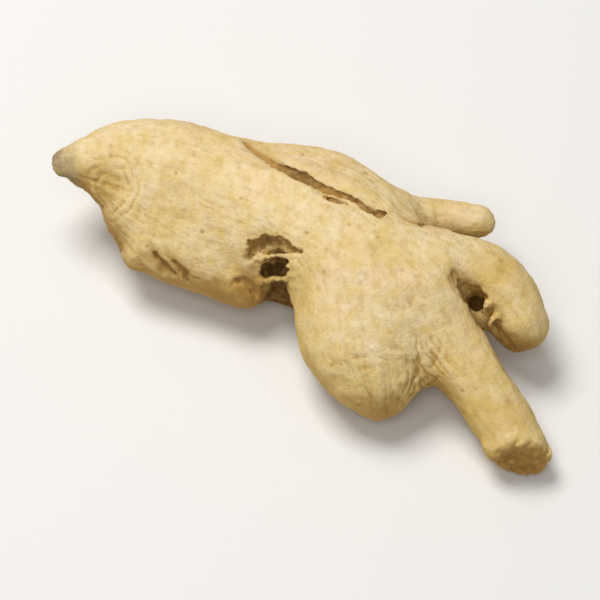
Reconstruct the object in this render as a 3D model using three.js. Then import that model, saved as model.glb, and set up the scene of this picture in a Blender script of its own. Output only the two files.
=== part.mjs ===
import * as THREE from 'three';
import { MarchingCubes } from 'three/addons/objects/MarchingCubes.js';
import { mergeVertices } from 'three/addons/utils/BufferGeometryUtils.js';

// One hand of dried ginger root, lying on its flatter side. It grew as one piece, so it is one solid.
// Millimetres, +Z up, +X along the hand, origin on the ground under the middle of its box.

// Each lobe is a row of stations along its middle line:
// x, y, z of the middle, half the width, half the thickness.
const head = [
  [-31.4, 19.6, 13.6, 2.2, 2.2],
  [-28.4, 19.7, 13.4, 3.6, 3.5],
  [-23.6, 20.1, 12.8, 6.5, 5.4],
  [-16.0, 18.9, 12.0, 8.0, 6.8],
  [-6.0, 13.8, 11.8, 8.2, 7.0],
  [3.0, 9.2, 11.8, 8.0, 7.0],
];
const cheek = [
  [-20.6, 13.8, 9.8, 5.8, 5.8],
  [-16.4, 11.2, 7.8, 6.4, 6.8],
  [-10.6, 10.2, 7.6, 6.0, 6.6],
  [-5.4, 10.2, 9.8, 6.0, 6.2],
];
const smallKnob = [
  [-13.0, 8.0, 8.2, 4.4, 4.2],
  [-9.2, 5.2, 7.6, 3.8, 3.7],
  [-6.6, 3.4, 7.1, 3.0, 3.0],
];
const body = [
  [-1.0, 11.2, 11.8, 7.2, 6.8],
  [6.0, 6.6, 12.0, 7.8, 7.3],
  [13.0, 2.6, 11.8, 8.4, 7.4],
  [19.0, 0.4, 11.4, 6.8, 6.6],
];
const middleLobe = [
  [8.8, 2.0, 11.4, 8.8, 7.2],
  [9.6, -4.4, 9.2, 9.3, 7.6],
  [11.0, -9.2, 7.6, 7.4, 6.4],
  [11.8, -12.0, 6.2, 4.8, 4.8],
];
const longFinger = [
  [17.0, -1.0, 10.8, 6.6, 6.4],
  [22.0, -7.6, 9.0, 5.2, 5.2],
  [26.0, -13.4, 7.2, 4.5, 4.5],
  [29.0, -17.8, 5.4, 4.2, 4.2],
  [30.8, -20.8, 4.2, 3.9, 3.9],
];
const rightKnob = [
  [19.0, 3.2, 11.4, 5.5, 5.6],
  [25.2, 2.3, 11.0, 5.4, 5.4],
  [29.1, -0.4, 10.2, 4.9, 5.1],
  [31.0, -3.7, 9.0, 4.3, 4.4],
];
const backBud = [
  [-8.0, 20.4, 12.0, 2.4, 2.8],
  [-2.0, 18.8, 12.4, 4.2, 4.4],
  [5.2, 15.8, 12.2, 5.8, 5.3],
  [11.4, 11.8, 11.6, 5.0, 5.2],
];
const smallFinger = [
  [13.0, 13.2, 9.8, 3.2, 3.6],
  [20.4, 13.8, 8.8, 2.8, 2.9],
  [26.0, 13.5, 8.4, 2.6, 2.6],
];
const underBud = [
  [2.0, 13.0, 8.0, 6.4, 6.0],
  [6.6, 16.0, 5.4, 4.8, 4.8],
  [9.0, 18.0, 4.0, 3.8, 3.8],
];
const innerWeb = [
  [-4.9, 6.4, 4.0, 2.2, 1.9],
  [0.9, 4.2, 4.0, 2.2, 2.0],
];

// Hollows the root tore or shrank into: x, y, z of the middle line, half the width, half the depth.
const pit = [
  [-2.6, 3.6, 15.8, 1.4, 1.8],
  [-2.2, 3.4, 13.4, 1.6, 2.8],
  [-2.0, 3.2, 10.8, 1.6, 3.0],
];
const knobCrevice = [
  [22.6, -0.9, 17.2, 1.0, 2.4],
  [24.6, -2.6, 14.2, 1.2, 3.6],
  [27.2, -6.0, 9.0, 1.3, 5.0],
  [30.0, -10.2, 5.0, 1.5, 5.0],
];

// How many places along a lobe its sizes are worked out at.
const placesAlongLobe = 36;
// Width of the rounding where lobes grow together, and at the lip of a hollow.
const lobeBlend = 3.2;
const hollowBlend = 1.5;
// The skin is found in a cube of cells, and no corner counts as closer to it than leastDistance,
// which keeps the facets from shrinking to slivers.
const gridCells = 62;
const gridHalfSize = 41;
const gridCentre = new THREE.Vector3(0, 0, 9);
const leastDistance = 0.16;
const mostFacets = 30000;
const mergeWithin = 1e-3;

// Fills in a lobe's middle line and sizes with a smooth curve through its stations.
function fillIn(stations) {
  const middle = new THREE.CatmullRomCurve3(stations.map((s) => new THREE.Vector3(s[0], s[1], s[2])));
  const sizes = new THREE.CatmullRomCurve3(stations.map((s) => new THREE.Vector3(s[3], s[4], 0)));
  const filled = [];
  for (let i = 0; i <= placesAlongLobe; i += 1) {
    const t = i / placesAlongLobe;
    filled.push({ at: middle.getPoint(t), size: sizes.getPoint(t) });
  }
  return filled;
}

// Distance from a point to the skin of a lobe, negative inside: near is 1 on the skin.
function distanceTo(lobe, x, y, z) {
  let nearest = Infinity;
  for (const { at, size } of lobe) {
    const across = ((x - at.x) ** 2 + (y - at.y) ** 2) / size.x ** 2;
    const above = (z - at.z) ** 2 / size.y ** 2;
    const near = Math.sqrt(across + above);
    const slope = Math.sqrt(across / size.x ** 2 + above / size.y ** 2) + 1e-9;
    const distance = (near * (near - 1)) / slope;
    nearest = Math.min(nearest, distance);
  }
  return nearest;
}

// Smaller of two distances, rounded over where they are within the blend of each other.
function blendMin(a, b, blend) {
  const h = Math.max(blend - Math.abs(a - b), 0) / blend;
  return Math.min(a, b) - h * h * blend * 0.25;
}

const lobes = [
  head, cheek, smallKnob, body, middleLobe, longFinger, rightKnob, backBud, smallFinger, underBud,
  innerWeb,
].map(fillIn);
const hollows = [pit, knobCrevice].map(fillIn);

function skinDistance(x, y, z) {
  let distance = Infinity;
  for (const lobe of lobes) {
    const toLobe = distanceTo(lobe, x, y, z);
    distance = distance === Infinity ? toLobe : blendMin(distance, toLobe, lobeBlend);
  }
  for (const hollow of hollows) {
    distance = -blendMin(-distance, distanceTo(hollow, x, y, z), hollowBlend);
  }
  return distance;
}

// Walks the root's skin through a grid of cells and returns it as one closed mesh.
function skinMesh() {
  const grid = new MarchingCubes(gridCells, new THREE.MeshStandardMaterial(), false, false, mostFacets);
  grid.isolation = 0;
  const cell = (2 * gridHalfSize) / gridCells;
  for (let k = 0; k < gridCells; k += 1) {
    for (let j = 0; j < gridCells; j += 1) {
      for (let i = 0; i < gridCells; i += 1) {
        const x = gridCentre.x - gridHalfSize + i * cell;
        const y = gridCentre.y - gridHalfSize + j * cell;
        const z = gridCentre.z - gridHalfSize + k * cell;
        const distance = skinDistance(x, y, z);
        const kept = Math.sign(distance || 1) * Math.max(Math.abs(distance), leastDistance);
        grid.field[i + gridCells * (j + gridCells * k)] = -kept;
      }
    }
  }
  grid.update();
  const skin = new THREE.BufferGeometry();
  const points = grid.positionArray.slice(0, grid.count * 3);
  skin.setAttribute('position', new THREE.BufferAttribute(points, 3));
  skin.scale(gridHalfSize, gridHalfSize, gridHalfSize);
  return mergeVertices(skin, mergeWithin);
}

const skin = skinMesh();
skin.computeBoundingBox();
const box = skin.boundingBox;
skin.translate(-(box.min.x + box.max.x) / 2, -(box.min.y + box.max.y) / 2, -box.min.z);
skin.computeVertexNormals();

const root = new THREE.Mesh(skin, new THREE.MeshStandardMaterial({ color: '#d8bf86', roughness: 0.9 }));
root.name = 'ginger_root';

const group = new THREE.Group();
group.name = 'ginger_root_hand';
group.add(root);
export default group;
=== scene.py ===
import math

import bpy
import numpy as np
import openvdb
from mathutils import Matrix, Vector


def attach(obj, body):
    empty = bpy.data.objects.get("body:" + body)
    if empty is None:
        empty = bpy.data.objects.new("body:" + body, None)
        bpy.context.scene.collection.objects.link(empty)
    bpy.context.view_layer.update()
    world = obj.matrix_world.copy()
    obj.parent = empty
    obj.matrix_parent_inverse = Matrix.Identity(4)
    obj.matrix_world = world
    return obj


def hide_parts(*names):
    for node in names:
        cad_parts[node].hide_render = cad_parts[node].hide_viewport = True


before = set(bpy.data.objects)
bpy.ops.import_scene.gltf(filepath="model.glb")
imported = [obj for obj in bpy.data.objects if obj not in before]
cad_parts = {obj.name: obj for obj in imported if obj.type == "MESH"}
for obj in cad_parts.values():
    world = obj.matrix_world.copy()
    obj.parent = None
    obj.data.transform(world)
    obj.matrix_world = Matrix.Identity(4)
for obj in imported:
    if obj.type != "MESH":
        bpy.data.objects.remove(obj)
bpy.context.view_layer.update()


# The camera looks steeply down on the root, square to the side that it shows, from far enough
# away that its near and far lobes keep their true sizes.
look_at = Vector((0, -0.001, 0.0085))
camera_distance = 0.5
camera_rise = math.radians(58)
frame_width = 0.083

camera_data = bpy.data.cameras.new("camera")
camera_data.lens = camera_data.sensor_width * camera_distance / frame_width
camera_data.clip_start = 0.01
camera = bpy.data.objects.new("camera", camera_data)
away = Vector((0, -math.cos(camera_rise), math.sin(camera_rise)))
camera.location = look_at + away * camera_distance
camera.rotation_euler = away.to_track_quat("Z", "Y").to_euler()
bpy.context.scene.collection.objects.link(camera)
bpy.context.scene.camera = camera
bpy.context.scene.view_settings.view_transform = "Standard"


# The table top: plain, pale and matt, and wide enough to reach past every view. The root lies
# loose on it.
table_half = 1.5
table_colour = (0.83, 0.82, 0.80, 1)
table_roughness = 0.85

table_mesh = bpy.data.meshes.new("table_top")
corners = [(-1, -1), (1, -1), (1, 1), (-1, 1)]
table_mesh.from_pydata([(x * table_half, y * table_half, 0) for x, y in corners], [], [(0, 1, 2, 3)])
table_top = bpy.data.objects.new("table_top", table_mesh)
bpy.context.scene.collection.objects.link(table_top)
table_paint = bpy.data.materials.new("table_paint")
table_paint.use_nodes = True
table_shader = table_paint.node_tree.nodes["Principled BSDF"]
table_shader.inputs["Base Color"].default_value = table_colour
table_shader.inputs["Roughness"].default_value = table_roughness
table_mesh.materials.append(table_paint)


# Studio light: one large soft lamp above and behind on the left, a weak one in front to open the
# shadows, and an even pale surround.
surround_colour = (0.97, 0.98, 1.0, 1)
surround_strength = 0.24


def soft_lamp(name, place, width, power, colour):
    lamp_data = bpy.data.lights.new(name, "AREA")
    lamp_data.shape = "SQUARE"
    lamp_data.size = width
    lamp_data.energy = power
    lamp_data.color = colour
    lamp = bpy.data.objects.new(name, lamp_data)
    lamp.location = place
    lamp.rotation_euler = Vector(place).to_track_quat("Z", "Y").to_euler()
    bpy.context.scene.collection.objects.link(lamp)


soft_lamp("main_lamp", place=(-0.13, 0.14, 0.49), width=0.24, power=2.1, colour=(1.0, 0.985, 0.955))
soft_lamp("front_lamp", place=(-0.05, -0.30, 0.50), width=0.3, power=0.8, colour=(1.0, 0.99, 0.97))

surround = bpy.data.worlds.new("surround")
surround.use_nodes = True
surround_light = surround.node_tree.nodes["Background"]
surround_light.inputs["Color"].default_value = surround_colour
surround_light.inputs["Strength"].default_value = surround_strength
bpy.context.scene.world = surround


# The root's flesh: one solid hand of lobes. The plain solid gives it its form, which is softened
# and then torn, split and scarred as drying leaves it. Worked in millimetres, as a block of cells
# that each hold the distance to the skin, negative inside.
mm = 0.001
cell = 0.27
cells_each_side_of_skin = 9
spare_cells = 4
softening = 0.62

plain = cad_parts["ginger_root"].data
plain.calc_loop_triangles()
plain_points = np.empty(len(plain.vertices) * 3, np.float32)
plain.vertices.foreach_get("co", plain_points)
plain_points = plain_points.reshape(-1, 3) / mm
plain_facets = np.empty(len(plain.loop_triangles) * 3, np.int32)
plain.loop_triangles.foreach_get("vertices", plain_facets)

flesh_grid = openvdb.FloatGrid.createLevelSetFromPolygons(
    plain_points,
    triangles=plain_facets.reshape(-1, 3).astype(np.uint32),
    transform=openvdb.createLinearTransform(voxelSize=cell),
    halfWidth=cells_each_side_of_skin,
)
first_cell, last_cell = flesh_grid.evalActiveVoxelBoundingBox()
first_cell = np.array(first_cell) - spare_cells
block_size = np.array(last_cell) + spare_cells + 1 - first_cell
flesh = np.empty(tuple(block_size), np.float32)
flesh_grid.copyToArray(flesh, ijk=tuple(int(i) for i in first_cell))


def soften(block, reach):
    """The block with each value averaged over about reach cells all round."""
    width = int(math.ceil(reach * 2.5))
    weights = np.exp(-0.5 * (np.arange(-width, width + 1) / reach) ** 2)
    weights /= weights.sum()
    for axis in range(3):
        total = np.zeros_like(block)
        for offset, weight in zip(range(-width, width + 1), weights):
            total += np.roll(block, offset, axis) * np.float32(weight)
        block = total
    return block


flesh = soften(flesh, softening / cell)

# Growth is never even: smooth random swells about one unit across, from -1 to 1, roughen whatever
# is cut into the flesh, added to it or raised on its skin.
chance = np.random.default_rng(11)
swell_kinds = 256
swell_slopes = chance.normal(size=(swell_kinds, 3))
swell_slopes /= np.linalg.norm(swell_slopes, axis=1)[:, None]
swell_order = chance.permutation(swell_kinds)
swell_height = 1.6


def cube_corners():
    return [np.array([corner & 1, corner >> 1 & 1, corner >> 2 & 1]) for corner in range(8)]


def swells(places):
    low = np.floor(places).astype(np.int64)
    inside = places - low
    ease = inside**3 * (inside * (inside * 6 - 15) + 10)
    last_kind = swell_kinds - 1
    total = np.zeros(len(places))
    for step in cube_corners():
        x, y, z = ((low + step) & last_kind).T
        pick = swell_order[(swell_order[(swell_order[x] + y) & last_kind] + z) & last_kind]
        rise = (swell_slopes[pick] * (inside - step)).sum(1)
        share = np.prod(np.where(step, ease, 1 - ease), axis=1)
        total += share * rise
    return total * swell_height


def layered(places, layers):
    """Swells laid over each other, each layer half the size and height of the last."""
    total = np.zeros(len(places))
    for layer in range(layers):
        total += swells(places * 2**layer + 17.3 * layer) * 0.5**layer
    return total


def along_line(places, line):
    """How far each place is from a line of (x, y, z, half width) points, less the half width there."""
    line = np.array(line, float)
    nearest = np.full(len(places), np.inf)
    for start, end in zip(line, line[1:]):
        run = end[:3] - start[:3]
        t = np.clip((places - start[:3]) @ run / (run @ run), 0, 1)
        away_from = np.linalg.norm(places - start[:3] - t[:, None] * run, axis=1)
        nearest = np.minimum(nearest, away_from - (start[3] + t * (end[3] - start[3])))
    return nearest


def cells_near(line, reach):
    """The part of the block round a line, its cells' places in millimetres and its shape."""
    line = np.array(line, float)
    low = (line[:, :3] - line[:, 3:] - reach).min(0) / cell - first_cell
    high = (line[:, :3] + line[:, 3:] + reach).max(0) / cell - first_cell
    low = np.clip(np.floor(low).astype(int), 0, block_size - 1)
    high = np.clip(np.ceil(high).astype(int) + 1, 1, block_size)
    part = tuple(slice(a, b) for a, b in zip(low, high))
    grids = np.meshgrid(*[np.arange(a, b) for a, b in zip(low, high)], indexing="ij")
    places = np.stack([g.ravel() for g in grids], 1)
    return part, (places + first_cell) * cell, grids[0].shape


def rounding(a, b, width):
    """What two distances' meeting line is rounded by, where they lie within a width of each other."""
    near = np.maximum(width - np.abs(a - b), 0) / width
    return near * near * width * 0.25


def hollow_out(line, ragged, grain_size, lip=0.2):
    """Cuts a hollow along a line, its wall torn into ragged flakes and strands, its lip rounded."""
    part, places, shape = cells_near(line, 1.2 + ragged)
    wall = along_line(places, line)
    fine_grain_size = 0.7
    flakes = np.abs(swells(places / grain_size))
    wall += ragged * (0.6 - 1.5 * flakes + 0.5 * layered(places / fine_grain_size, 2))
    cut = -wall.reshape(shape)
    flesh[part] = np.maximum(flesh[part], cut) + rounding(flesh[part], cut, lip)


def add_on(line, ragged, grain_size, blend=0.3):
    """Adds flesh along a line, such as a torn flake or fibre, roughened by ragged millimetres."""
    part, places, shape = cells_near(line, 1.0 + ragged + blend)
    wall = along_line(places, line)
    wall += ragged * layered(places / grain_size, 2)
    more = wall.reshape(shape)
    flesh[part] = np.minimum(flesh[part], more) - rounding(flesh[part], more, blend)


# The head's own swellings: three lumps that bulge over its lower edge, the last of them the nub
# that ends the small knob, and the blunt tip of its snout.
edge_lumps = [
    [(-20.8, 7.4, 9.2, 2.9), (-22.6, 6.9, 8.0, 2.2)],
    [(-18.4, 6.2, 8.6, 2.1), (-19.2, 5.2, 7.6, 1.5)],
    [(-8.4, 1.9, 8.2, 2.2), (-7.5, 1.2, 7.6, 1.9)],
]
snout = [(-32.9, 18.4, 13.7, 1.7), (-30.6, 18.6, 13.6, 2.6)]
for lump in edge_lumps:
    add_on(lump, ragged=0.12, grain_size=1.6, blend=1.6)
add_on(snout, ragged=0.18, grain_size=2.0, blend=1.6)


# The flesh as it was before it tore: the same block with plugs where the plain solid is already
# hollow. How deep a spot lies below this skin tells torn flesh from outer skin.
plugs = [
    [(-4.0, 5.7, 15.0, 2.2), (-1.7, 2.6, 13.1, 2.2), (-1.8, 2.3, 10.4, 2.2)],
    [(-1.7, 2.6, 13.1, 2.2), (-5.2, 3.2, 9.6, 2.2)],
    [(20.6, -2.3, 15.4, 1.8), (22.7, -3.6, 13.5, 1.8), (23.8, -5.3, 11.7, 1.7), (25.9, -6.7, 9.9, 1.6)],
]
torn_flesh = flesh.copy()
for plug in plugs:
    add_on(plug, ragged=0.0, grain_size=1.0, blend=1.5)
whole_flesh, flesh = flesh, torn_flesh


# The torn pit where the head meets the middle lobe. The skin overhangs a shallow recess that
# curves round the top of it; in front of that a ragged edge drops into a deep hole, with a cleft
# below. Strands are left across the hole, and flakes of skin stick out over its right side.
pit_recess = [
    (-7.0, 3.2, 13.0, 0.7),
    (-6.1, 3.8, 14.6, 1.0),
    (-4.5, 3.9, 15.6, 1.1),
    (-2.7, 3.2, 16.1, 1.1),
    (-1.3, 2.2, 16.0, 0.8),
    (0.3, 1.6, 16.8, 0.4),
]
pit_holes = [
    [(-4.6, 0.9, 12.6, 1.1), (-4.2, 2.6, 10.2, 1.6), (-3.6, 4.0, 8.0, 1.2)],
    [(-2.4, 0.6, 15.4, 1.0), (-2.3, 2.2, 12.6, 1.9), (-2.4, 3.8, 9.4, 1.6)],
]
pit_cleft = [(-3.4, 0.6, 9.8, 1.3), (-2.2, -1.2, 9.0, 1.2), (-1.2, -3.6, 8.6, 0.7)]
pit_strands = [
    [(-5.6, 1.2, 9.8, 0.6), (-3.4, 0.9, 10.9, 0.38), (-1.2, 0.0, 12.6, 0.5)],
    [(-5.2, 2.7, 13.2, 0.5), (-3.9, 2.5, 14.5, 0.33), (-2.3, 2.0, 15.1, 0.36), (-0.4, 1.5, 16.1, 0.45)],
    [(-0.3, 0.3, 15.6, 0.55), (-1.5, 0.7, 14.7, 0.3)],
    [(-0.3, -0.7, 14.6, 0.55), (-1.7, 0.2, 13.5, 0.3)],
    [(-0.4, -1.6, 13.2, 0.5), (-1.4, -0.8, 12.2, 0.3)],
]
hollow_out(pit_recess, ragged=0.42, grain_size=1.2, lip=0.45)
for hole in pit_holes:
    hollow_out(hole, ragged=0.75, grain_size=1.1)
hollow_out(pit_cleft, ragged=0.3, grain_size=1.2)
for strand in pit_strands:
    add_on(strand, ragged=0.22, grain_size=0.9)


# The head's lower edge: a curled groove round the small knob's nub, and two creases between the
# lumps, where the skin folded in as the flesh shrank.
nub_groove = [
    (-9.7, 0.3, 9.6, 0.1),
    (-8.9, 0.9, 10.4, 0.5),
    (-7.7, 1.1, 10.5, 0.6),
    (-6.6, 0.4, 9.6, 0.6),
    (-6.0, -0.4, 8.0, 0.4),
]
edge_creases = [
    [(-20.6, 6.0, 11.9, 0.1), (-20.0, 4.9, 10.9, 0.35), (-18.8, 4.0, 9.8, 0.5), (-17.4, 3.2, 8.8, 0.4)],
    [(-18.2, 4.9, 11.4, 0.1), (-17.2, 3.9, 10.6, 0.35), (-15.9, 2.7, 9.6, 0.5), (-15.4, 2.4, 8.2, 0.4)],
]
hollow_out(nub_groove, ragged=0.12, grain_size=1.0)
for crease in edge_creases:
    hollow_out(crease, ragged=0.15, grain_size=1.0)


# The crevice between the knob and the long finger: a deep hole at its upper end, then a crack
# that widens into the gap below the knob, with fibres across it.
knob_hole = [
    (21.1, -2.6, 17.0, 0.2),
    (22.1, -3.3, 16.0, 0.8),
    (23.2, -3.6, 14.7, 1.35),
    (24.2, -3.6, 12.8, 1.6),
    (24.4, -2.4, 9.4, 1.2),
]
knob_crack = [
    (24.4, -5.0, 13.2, 0.9),
    (25.6, -6.2, 11.6, 0.6),
    (26.8, -7.6, 9.8, 0.7),
    (28.0, -9.2, 7.6, 0.9),
]
knob_fibres = [
    [(25.9, -4.5, 13.2, 0.5), (25.0, -5.4, 12.6, 0.3)],
    [(26.9, -5.7, 12.0, 0.5), (25.9, -6.7, 11.2, 0.3)],
]
hollow_out(knob_hole, ragged=0.4, grain_size=1.1)
hollow_out(knob_crack, ragged=0.35, grain_size=1.0)
for fibre in knob_fibres:
    add_on(fibre, ragged=0.2, grain_size=0.8)


# The crevice between the ridge and the bud behind it: a fine fold that opens into a deep slot and
# closes again, with a short split beside it and a hole at its end. The bud's skin swells into a
# lip along it. The small finger leaves the body at a fold of its own.
ridge_crevice = [
    (-7.6, 19.9, 16.4, 0.5),
    (-6.8, 18.6, 17.1, 0.35),
    (-3.4, 15.0, 18.0, 0.5),
    (-1.4, 13.6, 18.0, 0.9),
    (0.4, 12.6, 18.1, 1.0),
    (1.8, 11.6, 18.4, 0.75),
    (3.6, 10.5, 18.5, 0.55),
    (5.8, 9.7, 18.3, 0.55),
    (7.6, 8.9, 18.0, 0.6),
    (8.8, 7.9, 18.0, 0.6),
    (10.6, 6.9, 17.8, 0.9),
    (11.8, 7.4, 17.0, 0.4),
]
bud_lip = [
    (-3.0, 16.4, 17.3, 0.5),
    (0.6, 14.2, 17.3, 1.2),
    (4.0, 12.2, 17.2, 1.3),
    (7.8, 10.6, 16.8, 1.3),
    (11.4, 9.0, 16.0, 1.0),
]
ridge_slot = [(-0.8, 13.2, 16.6, 0.6), (0.6, 12.6, 15.8, 0.9), (2.4, 11.2, 16.6, 0.5)]
ridge_split = [(2.4, 9.0, 19.0, 0.15), (4.5, 8.6, 18.8, 0.42), (6.4, 8.1, 18.5, 0.3)]
finger_fold = [
    (14.6, 6.8, 16.9, 0.3),
    (16.4, 6.4, 16.4, 0.6),
    (18.4, 7.6, 13.6, 0.6),
    (21.4, 9.4, 10.0, 0.45),
]
add_on(bud_lip, ragged=0.15, grain_size=2.0, blend=1.4)
hollow_out(ridge_crevice, ragged=0.16, grain_size=1.0)
hollow_out(ridge_slot, ragged=0.3, grain_size=1.0)
hollow_out(ridge_split, ragged=0.1, grain_size=0.9)
hollow_out(finger_fold, ragged=0.15, grain_size=1.0)


# The long finger was snapped off: its blunt end is a rough scar with a worn rim of skin round it,
# swollen into three lumps, and a notch at its right side.
scar_place = (29.9, -25.0, 4.2)
scar_facing = (0.12, -0.97, 0.16)
end_lumps = [
    [(26.9, -22.8, 5.0, 1.5), (27.8, -23.2, 6.2, 1.4)],
    [(29.9, -23.2, 6.3, 1.5), (31.6, -23.0, 5.9, 1.4)],
    [(32.6, -23.6, 3.9, 1.3), (31.6, -24.0, 2.6, 1.2)],
]
end_notch = [(33.8, -20.6, 6.2, 0.25), (33.4, -22.8, 4.8, 0.6)]


def snap_off(place, facing, reach, dip, ragged, rim):
    """Ends a lobe at a rough face looking the way given, dished by dip inside a rounded rim."""
    facing = np.array(facing, float) / np.linalg.norm(facing)
    part, places, shape = cells_near([(*place, reach)], 1.0)
    offset = places - place
    proud = offset @ facing
    from_middle = np.linalg.norm(offset - proud[:, None] * facing, axis=1)
    dish = dip * np.clip(1.15 - (from_middle / (reach * 0.6)) ** 3, 0, 1)
    break_grain = 1.8
    face = proud + dish + ragged * layered(places / break_grain, 3)
    far_inside = -9
    face[from_middle > reach * 1.2] = far_inside
    face = face.reshape(shape)
    flesh[part] = np.maximum(flesh[part], face) + rounding(flesh[part], face, rim)


for lump in end_lumps:
    add_on(lump, ragged=0.15, grain_size=1.8, blend=1.8)
snap_off(scar_place, scar_facing, reach=4.6, dip=1.3, ragged=0.9, rim=2.0)
hollow_out(end_notch, ragged=0.2, grain_size=0.9)


# The skin of that flesh, as one closed mesh. Crumbs that the tearing cut loose are left out.
def without_crumbs(places, faces):
    """The places and faces of the largest piece of skin only."""
    piece = np.arange(len(places))
    while True:
        joined = piece.copy()
        np.minimum.at(joined, faces.ravel(), np.repeat(piece[faces].min(1), 4))
        joined = joined[joined]
        if (joined == piece).all():
            break
        piece = joined
    stays = piece == np.bincount(piece).argmax()
    number = np.cumsum(stays) - 1
    return places[stays], number[faces[stays[faces[:, 0]]]]


skin_grid = openvdb.FloatGrid(float(flesh.max()))
skin_grid.copyFromArray(flesh, ijk=tuple(int(i) for i in first_cell))
skin_grid.transform = openvdb.createLinearTransform(voxelSize=cell)
skin_places, _, skin_faces = skin_grid.convertToPolygons(isovalue=0.0, adaptivity=0.0)
skin_places, skin_faces = without_crumbs(skin_places, skin_faces)
skin_mesh = bpy.data.meshes.new("ginger_root_skin")
skin_mesh.from_pydata(skin_places, [], skin_faces.tolist())
root = bpy.data.objects.new("root_skin", skin_mesh)
bpy.context.scene.collection.objects.link(root)

places = np.empty(len(skin_mesh.vertices) * 3, np.float32)
skin_mesh.vertices.foreach_get("co", places)
places = places.reshape(-1, 3).astype(float)


def facing_out():
    skin_mesh.update()
    out = np.empty(len(skin_mesh.vertices) * 3, np.float32)
    skin_mesh.vertices.foreach_get("normal", out)
    return out.reshape(-1, 3).astype(float)


out = facing_out()


# The way the skin grew at each place: along the middle lines of the lobes that it lies on. Its
# folds and fibres run that way.
lobe_lines = {
    "head": [
        (-33.0, 18.0, 13.4, 2.0),
        (-24.5, 18.8, 12.5, 5.8),
        (-16.9, 17.6, 11.7, 7.4),
        (-6.9, 12.5, 11.5, 7.6),
    ],
    "body": [(-6.9, 12.5, 11.5, 7.6), (5.0, 5.6, 11.6, 7.6), (14.0, 0.6, 11.4, 7.4)],
    "cheek": [(-22.0, 13.0, 9.8, 5.4), (-17.3, 9.9, 7.6, 6.4), (-11.5, 8.9, 7.4, 6.2), (-6.3, 8.9, 9.5, 6.0)],
    "small_knob": [(-13.9, 6.7, 8.0, 4.2), (-10.1, 3.9, 7.4, 3.6), (-7.5, 2.1, 6.9, 3.0)],
    "middle_lobe": [
        (7.0, 6.0, 11.4, 7.6),
        (8.4, -1.0, 10.6, 8.4),
        (9.2, -7.0, 8.6, 8.0),
        (10.6, -13.6, 6.2, 4.8),
    ],
    "long_finger": [
        (14.4, 1.0, 11.0, 6.6),
        (17.6, -4.4, 10.2, 5.8),
        (21.1, -8.9, 8.7, 5.2),
        (30.2, -22.6, 3.8, 3.9),
    ],
    "knob": [(17.0, 2.6, 11.2, 5.6), (24.3, 1.0, 10.7, 5.3), (28.2, -1.7, 9.9, 4.9), (30.3, -5.2, 8.6, 4.2)],
    "back_bud": [
        (-8.9, 19.1, 11.7, 2.4),
        (-2.9, 17.5, 12.1, 4.2),
        (4.3, 14.5, 11.9, 5.4),
        (11.5, 10.0, 11.1, 5.0),
    ],
    "small_finger": [(12.1, 12.0, 9.5, 3.3), (19.5, 12.5, 8.5, 2.8), (25.6, 12.1, 8.1, 2.5)],
    "under_bud": [(1.1, 11.7, 7.7, 6.0), (5.7, 14.7, 5.1, 4.8), (8.4, 17.1, 3.6, 3.7)],
}
lobe_hold = 0.9

way = np.zeros((len(places), 3))
for line in lobe_lines.values():
    for start, end in zip(line, line[1:]):
        off = along_line(places, [start, end])
        run = np.subtract(end[:3], start[:3])
        way += np.exp(-np.clip(off, -3, 20) / lobe_hold)[:, None] * run / np.linalg.norm(run)
way -= (way * out).sum(1)[:, None] * out
way /= np.linalg.norm(way, axis=1)[:, None] + 1e-9


# Torn flesh shows in the pit, the crevices and the scar: spots below the skin that the root had before it
# tore. The deeper they lie the darker they are painted, as painted shade, and the cleft under the pit, the
# ridge crevices and the knob's crack are counted deeper still, so painted shade makes them as dark as the
# depths.
def near_line(line, reach):
    """1 on a line's surface, falling to 0 at reach millimetres from it."""
    return np.clip(1 - along_line(places, line) / reach, 0, 1) ** 1.5


def near_lines(lines, reach):
    return np.maximum.reduce([near_line(line, reach) for line in lines])


def within(place, radius, soft):
    """1 inside a ball, falling to 0 over soft millimetres outside it."""
    off = np.linalg.norm(places - place, axis=1) - radius
    return np.clip(1 - off / soft, 0, 1)


def depth_below(block):
    """How deep each place of the skin lies in a block of flesh, in millimetres."""
    spots = places / cell - first_cell
    low = np.floor(spots).astype(int)
    inside = spots - low
    total = np.zeros(len(places))
    for step in cube_corners():
        share = np.prod(np.where(step, inside, 1 - inside), axis=1)
        total -= share * block[tuple((low + step).T)]
    return total


skin_thickness = 0.18
torn_over = 0.35
dark_from = 1.0
dark_over = 1.5
cleft_shade_middle = (-2.6, 1.2, 5.6)

depth_with_shade = depth_below(whole_flesh)
# Painted shade: the cleft under the pit and a ball at its floor are counted as deep torn flesh, so they are
# painted dark.
low_in_cleft = np.clip((11.5 - places[:, 2]) / 2.5, 0, 1)
depth_with_shade = np.maximum(depth_with_shade, 2.4 * near_line(pit_cleft, 2.0) * low_in_cleft)
depth_with_shade = np.maximum(depth_with_shade, 2.8 * within(cleft_shade_middle, 2.4, 1.4))
below_skin = np.clip(depth_with_shade / 0.4, 0, 1)
# Painted shade: the ridge crevices and the knob's crack are counted deeper, so they are painted darker.
depth_with_shade += 0.35 * below_skin * near_lines([ridge_crevice, ridge_slot, ridge_split], 0.5)
below_skin = np.clip(depth_with_shade / 0.4, 0, 1)
depth_with_shade += 1.5 * below_skin * near_line(knob_crack, 0.8)
off_the_scar = 1 - within(scar_place, 4.0, 1.5)
torn = np.clip((depth_with_shade - skin_thickness) / torn_over, 0, 1) * off_the_scar
deep_shade = np.clip((depth_with_shade - dark_from) / dark_over, 0, 1) * off_the_scar
scar = within(scar_place, 3.4, 1.4) * np.clip((out @ scar_facing - 0.45) * 4, 0, 1)


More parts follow.
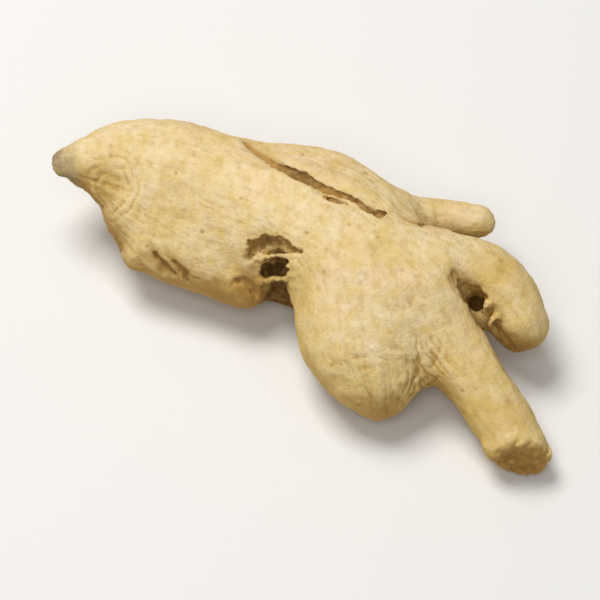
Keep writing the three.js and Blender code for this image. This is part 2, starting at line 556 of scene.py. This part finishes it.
# The wrinkles of the skin, which shrank as the root dried. They are faint on the upper faces and
# strong on the flanks and underneath, along the lower edge of the head, round the pit and the
# crevices, at the neck and at the notch beside the long finger.
def bumps(size, start, layers=1):
    """Swells over the skin, about size millimetres across."""
    return layered(places / size + start, layers)


def drawn_out(size, reach, start):
    """Swells size millimetres across, drawn out to reach millimetres the way the skin grew."""
    steps = np.linspace(-0.5, 0.5, int(reach / size * 1.8) + 3) * reach
    total = sum(swells((places + way * step) / size + start) for step in steps)
    return total / total.std()


head_edge = [(-24.5, 8.0, 8.6, 0.5), (-20.0, 4.6, 8.6, 1.0), (-15.5, 3.0, 9.0, 1.0)]
neck_edge = [(-31.0, 15.6, 12.6, 0.8), (-27.6, 12.6, 10.2, 1.2), (-25.2, 9.4, 8.8, 1.2)]
neck = (-27.0, 13.4, 14.0)
pit_middle = (-3.5, 3.0, 15.0)
finger_notch = (17.0, -12.0, 9.6)
middle_lobe_end = (12.0, -16.5, 9.0)
least_wrinkled = 0.03
plain_wrinkled = 0.06

wrinkled = 0.10 * bumps(8.0, 4.0, 2)
wrinkled += 0.6 * np.clip(0.25 - out[:, 2], 0, 1)
wrinkled += 0.5 * near_line(head_edge, 3.5)
wrinkled += 0.5 * within(pit_middle, 2.4, 2.6)
wrinkled += 0.7 * within(finger_notch, 1.8, 3.4)
wrinkled += 0.4 * within(neck, 2.0, 3.6)
wrinkled += 0.55 * near_line(neck_edge, 3.2)
wrinkled += 0.35 * within(middle_lobe_end, 2.5, 4.0)
wrinkled += 0.45 * near_line([*knob_hole[:3], *knob_crack[1:]], 2.4)
wrinkled += 0.3 * near_line(ridge_crevice, 1.8)
wrinkled = np.clip(wrinkled + plain_wrinkled, least_wrinkled, 1.0)

lumps = 0.17 * bumps(6.0, 2.0, 2) + (0.03 + 0.20 * wrinkled) * bumps(2.3, 8.0)
broad_folds = drawn_out(1.9, 11.0, 5.0)
narrow_folds = drawn_out(1.05, 7.0, 9.0)
fibres = drawn_out(0.55, 4.0, 13.0)
creases = np.exp(-((broad_folds / 0.38) ** 2)) * np.clip(0.6 + bumps(4.0, 21), 0, 1.3)
small_creases = np.exp(-((narrow_folds / 0.42) ** 2)) * np.clip(0.5 + bumps(2.6, 27), 0, 1.2)
height = lumps - wrinkled * (0.32 * creases + 0.19 * small_creases)
height += (0.012 + 0.08 * wrinkled) * broad_folds + (0.004 + 0.04 * wrinkled) * fibres
height += 0.075 * bumps(1.3, 33.0, 3) + 0.14 * bumps(3.0, 41.0)


# Rings where leaf scales once sat: curled round the neck of the head, and round the end of the
# middle lobe as far as the notch beside the finger. They break off and fade in places.
neck_ring_middle = (-26.8, 13.4, 14.8)
neck_ring_gap = 1.2
end_ring_middle = (10.6, -4.6, 9.0)
end_ring_squash = (0.92, 1.0, 0.9)
end_ring_gap = 1.0

neck_from = np.linalg.norm(places - neck_ring_middle, axis=1) + 0.55 * bumps(2.4, 0)
neck_rings = np.sin(neck_from * 2 * np.pi / neck_ring_gap) * np.clip((6.6 - neck_from) / 3, 0, 1)
neck_rings *= np.clip(0.45 + 1.1 * bumps(2.7, 7), 0, 1.2)
end_from = np.linalg.norm((places - end_ring_middle) * end_ring_squash, axis=1) + 0.5 * bumps(3.2, 3)
end_rings = np.sin(end_from * 2 * np.pi / end_ring_gap) * np.clip((end_from - 7.6) / 2.2, 0, 1)
end_rings *= np.clip(-(places[:, 1] + 8.5) / 3, 0, 1) * np.clip((21.0 - places[:, 0]) / 3, 0, 1)
end_rings *= np.clip(0.35 + 1.3 * bumps(2.2, 11), 0, 1.2)
height += 0.12 * neck_rings + 0.085 * end_rings


# Pinprick pits where rootlets dried off, scattered over the outer skin.
rootlets = 60
rootlet_pit_depth = 0.14
rootlet_pits = np.zeros(len(places))
for number in chance.choice(len(places), rootlets, replace=False):
    off = np.linalg.norm(places - places[number], axis=1)
    rootlet_pits = np.maximum(rootlet_pits, np.clip(1 - off / chance.uniform(0.3, 0.6), 0, 1))
rootlet_pits *= 1 - torn
height -= rootlet_pit_depth * rootlet_pits


# The torn flesh is rough with short fibres, and the scar with coarser ones. With that the skin's
# relief is complete, and is pressed into the mesh.
height += torn * (0.16 * bumps(0.9, 1.0, 2) - 0.12 * np.abs(bumps(0.6, 0)))
height += scar * 0.30 * bumps(1.1, 6.0, 3)
places += out * height[:, None]
skin_mesh.vertices.foreach_set("co", (places * mm).astype(np.float32).ravel())
skin_mesh.polygons.foreach_set("use_smooth", [True] * len(skin_mesh.polygons))
out = facing_out()


# How far each spot lies below the skin round it; the skin is coloured darker in dips and paler on crests.
skin_edges = np.empty(len(skin_mesh.edges) * 2, np.int32)
skin_mesh.edges.foreach_get("vertices", skin_edges)
skin_edges = skin_edges.reshape(-1, 2)
neighbours = np.bincount(skin_edges.ravel(), minlength=len(places)).astype(float)


def even_out(values, times):
    """The values averaged with their neighbours' over and over."""
    for _ in range(times):
        total = np.zeros_like(values)
        for axis in range(values.shape[1]):
            column = values[:, axis]
            total[:, axis] = np.bincount(skin_edges[:, 0], column[skin_edges[:, 1]], len(values))
            total[:, axis] += np.bincount(skin_edges[:, 1], column[skin_edges[:, 0]], len(values))
        values = 0.4 * values + 0.6 * total / neighbours[:, None]
    return values


def even_out_amount(amount, times):
    return even_out(amount[:, None], times)[:, 0]


def keep_on_skin(name, values):
    layer = skin_mesh.attributes.new(name, "FLOAT", "POINT")
    layer.data.foreach_set("value", values.astype(np.float32))


fine_dip = ((even_out(places, 6) - places) * out).sum(1)
broad_dip = ((even_out(places, 70) - places) * out).sum(1)
flat_out = even_out(out, 40)
facing_away_from_light = -out @ (0.0, 0.42, 0.91)
keep_on_skin("fine_dip", np.clip(fine_dip / 0.06, -1, 1))
keep_on_skin("broad_dip", np.clip(broad_dip / 0.5, -1, 1))
keep_on_skin("torn", even_out_amount(torn, 4))
keep_on_skin("deep_shade", even_out_amount(deep_shade, 3))
keep_on_skin("scar", scar)
keep_on_skin("rootlet_pits", rootlet_pits)
keep_on_skin("rings", np.clip(-1.1 * neck_rings - 0.8 * end_rings - 0.15, 0, 1))
keep_on_skin("strands", np.clip(0.5 + fibres * 0.16 + narrow_folds * 0.10, 0, 1))
# Painted shade: skin turned away from the main lamp is painted tan.
keep_on_skin("painted_underside_shade", np.clip(0.12 + facing_away_from_light, 0, 1))
# Partly real, partly painted light: faces turned up are the peeled flats, and are painted paler as lit tops.
keep_on_skin("scraped_and_top_lit", np.clip((flat_out[:, 2] - 0.15) / 0.8, 0, 1) * (1 - wrinkled * 0.6))
keep_on_skin("wrinkled", wrinkled)


# Stains in the skin, some of them painted shade: grey on the snout's tip; brown under the head's edge, at the
# neck, under the knob and at the lobes' lower ends, which is painted shade, and brown round the grooves and
# folds; and golden skin on the finger, the knob and in patches of the body.
head_underside = [
    (-24.0, 6.2, 7.4, 0.4),
    (-20.2, 3.4, 7.0, 0.6),
    (-15.0, 1.6, 7.6, 1.0),
    (-12.0, 0.4, 7.6, 1.6),
    (-7.6, -0.2, 7.8, 1.8),
]
finger_middle = [(20.5, -9.0, 9.5, 3.0), (29.0, -21.0, 5.0, 3.0)]

grey_skin = 1.3 * within((-34.0, 17.8, 13.6), 1.6, 3.2)
# Partly painted shade: brown under the edges, the knob and the neck; brown stain round the grooves and folds.
brown_skin_and_shade = (
    1.0 * near_line(head_underside, 3.0)
    + 1.2 * near_line(neck_edge, 3.2)
    + 0.6 * within((-27.7, 14.4, 15.0), 1.0, 3.0)
    + 0.9 * within((-9.0, 0.8, 9.0), 1.8, 2.6)
    + 0.8 * within((18.6, -14.6, 7.4), 1.0, 3.2)
    + 0.6 * near_line(finger_fold, 1.6)
    + 0.5 * near_line(ridge_crevice[:3], 1.6)
    + 1.3 * within((29.6, -10.0, 8.4), 1.6, 3.4)
    + 0.9 * within((11.0, -18.4, 6.4), 1.2, 3.2)
    + 0.9 * near_lines([nub_groove, *edge_creases], 1.1)
)
golden_skin = np.maximum.reduce(
    [
        0.25 * within((-17.0, 11.0, 17.0), 1.5, 5.0),
        0.7 * within((-27.0, 14.0, 15.0), 1.0, 4.0),
        0.9 * within((27.0, -1.0, 14.0), 1.5, 5.0),
        0.8 * within((1.2, -2.5, 13.0), 1.0, 4.0),
        0.45 * within((6.0, 13.0, 17.0), 1.5, 4.0),
        0.9 * near_line(finger_middle, 4.0),
    ]
)
keep_on_skin("grey_skin", np.clip(grey_skin, 0, 1))
keep_on_skin("brown_skin_and_shade", np.clip(brown_skin_and_shade, 0, 1))
keep_on_skin("golden_skin", golden_skin)


# The finish of dried ginger skin: matt and chalky, cream to straw yellow with a pink cast, darker and browner
# in the creases and where the flesh is torn, with painted shade on the faces turned down and in the depths
# and painted light on the faces turned up. It is laid on coat over coat.
cream = (0.87, 0.68, 0.365)
straw = (0.77, 0.55, 0.17)
blush = (0.89, 0.65, 0.385)
pale_dust_and_highlight = (0.91, 0.76, 0.49)
gold = (0.70, 0.47, 0.115)
tan = (0.46, 0.26, 0.065)
umber = (0.112, 0.042, 0.0015)
snout_tip_grey = (0.345, 0.25, 0.135)

skin_paint = bpy.data.materials.new("dried_skin")
skin_paint.use_nodes = True
paint = skin_paint.node_tree
skin_shader = paint.nodes["Principled BSDF"]


def paint_node(kind, **settings):
    node = paint.nodes.new(kind)
    for name, value in settings.items():
        setattr(node, name, value)
    return node


def join(source, target):
    paint.links.new(source, target)


where = paint_node("ShaderNodeTexCoord").outputs["Object"]


def blotches(size, detail, seed, low, high):
    """Soft random patches about size metres across, from 0 to 1 between low and high."""
    noise = paint_node("ShaderNodeTexNoise", noise_dimensions="4D")
    noise.inputs["W"].default_value = seed
    noise.inputs["Scale"].default_value = 1 / size
    noise.inputs["Detail"].default_value = detail
    noise.inputs["Roughness"].default_value = 0.6
    join(where, noise.inputs["Vector"])
    spread = paint_node("ShaderNodeMapRange", interpolation_type="SMOOTHSTEP")
    spread.inputs["From Min"].default_value = low
    spread.inputs["From Max"].default_value = high
    join(noise.outputs["Fac"], spread.inputs["Value"])
    return spread.outputs["Result"]


def kept(name):
    return paint_node("ShaderNodeAttribute", attribute_name=name).outputs["Fac"]


def scaled(value, by, plus=0.0):
    node = paint_node("ShaderNodeMath", operation="MULTIPLY_ADD", use_clamp=True)
    join(value, node.inputs[0])
    node.inputs[1].default_value = by
    node.inputs[2].default_value = plus
    return node.outputs[0]


def both(a, b):
    node = paint_node("ShaderNodeMath", operation="MULTIPLY")
    join(a, node.inputs[0])
    join(b, node.inputs[1])
    return node.outputs[0]


def new_coat(colour, amount):
    """A coat of a colour, as thick as amount from 0 to 1 says, with its lower side still bare."""
    node = paint_node("ShaderNodeMix", data_type="RGBA")
    join(amount, node.inputs["Factor"])
    node.inputs["B"].default_value = (*colour, 1)
    return node


# The sound skin: straw, cream on top, where it is peeled and where painted light falls, clouded with blush
# and pale patches on top that are partly painted highlight, straw and gold.
coats = [
    (cream, scaled(kept("scraped_and_top_lit"), 1.0, 0.15)),
    (straw, scaled(blotches(0.0075, 3, 1.0, 0.42, 0.72), 0.6)),
    (blush, both(kept("scraped_and_top_lit"), blotches(0.0060, 3, 2.0, 0.45, 0.68))),
    (pale_dust_and_highlight, both(kept("scraped_and_top_lit"), blotches(0.0026, 4, 3.0, 0.42, 0.75))),
    (straw, scaled(blotches(0.0020, 5, 8.0, 0.45, 0.66), 0.60)),
    (gold, both(kept("golden_skin"), blotches(0.0032, 4, 11.0, 0.25, 0.60))),
]
# Tan in every fold and dip and between the fibres, paler on the wrinkles' crests, and painted shade in tan on
# the side turned away from the main lamp.
coats += [
    (tan, scaled(blotches(0.0013, 6, 4.0, 0.46, 0.74), 0.34)),
    (tan, scaled(kept("strands"), -0.34, 0.19)),
    (tan, both(kept("wrinkled"), scaled(kept("fine_dip"), 0.9, 0.05))),
    (tan, scaled(kept("fine_dip"), 0.45, -0.01)),
    (pale_dust_and_highlight, both(kept("wrinkled"), scaled(kept("fine_dip"), -0.5))),
    (tan, scaled(kept("broad_dip"), 0.8, -0.08)),
    (tan, scaled(kept("painted_underside_shade"), 0.9)),
]
# The stains, partly painted shade, the rings, and the torn flesh, painted darker with depth as painted shade.
dark_share = scaled(blotches(0.0012, 4, 14.0, 0.30, 0.62), 0.4, 0.6)
scar_share = scaled(blotches(0.0010, 3, 13.0, 0.4, 0.7), 0.3)
coats += [
    (tan, both(kept("brown_skin_and_shade"), blotches(0.003, 4, 5.0, 0.20, 0.60))),
    (snout_tip_grey, both(kept("grey_skin"), blotches(0.0024, 4, 12.0, 0.22, 0.66))),
    (tan, scaled(kept("rings"), 0.62)),
    (tan, both(kept("torn"), blotches(0.0009, 4, 9.0, 0.25, 0.68))),
    (umber, both(kept("deep_shade"), dark_share)),
    (tan, both(kept("scar"), blotches(0.0012, 3, 10.0, 0.1, 0.5))),
    (umber, both(kept("scar"), scar_share)),
    (umber, scaled(blotches(0.0006, 2, 6.0, 0.72, 0.82), 0.4)),
    (tan, scaled(kept("rootlet_pits"), 0.7)),
]
laid = None
for coat_colour, amount in coats:
    coat = new_coat(coat_colour, amount)
    if laid is None:
        coat.inputs["A"].default_value = (*straw, 1)
    else:
        join(laid, coat.inputs["A"])
    laid = coat.outputs["Result"]
join(laid, skin_shader.inputs["Base Color"])

roughness = paint_node("ShaderNodeMapRange")
roughness.inputs["To Min"].default_value = 0.74
roughness.inputs["To Max"].default_value = 0.95
join(blotches(0.0016, 4, 7.0, 0.3, 0.7), roughness.inputs["Value"])
join(roughness.outputs["Result"], skin_shader.inputs["Roughness"])
skin_shader.inputs["Specular IOR Level"].default_value = 0.28

grain_noise = paint_node("ShaderNodeTexNoise")
grain_noise.inputs["Scale"].default_value = 1 / 0.00042
grain_noise.inputs["Detail"].default_value = 6
grain_noise.inputs["Roughness"].default_value = 0.68
join(where, grain_noise.inputs["Vector"])
grain = paint_node("ShaderNodeBump")
grain.inputs["Strength"].default_value = 0.8
grain.inputs["Distance"].default_value = 0.00030
join(grain_noise.outputs["Fac"], grain.inputs["Height"])
join(grain.outputs["Normal"], skin_shader.inputs["Normal"])
skin_mesh.materials.append(skin_paint)

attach(root, "root")
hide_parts("ginger_root")
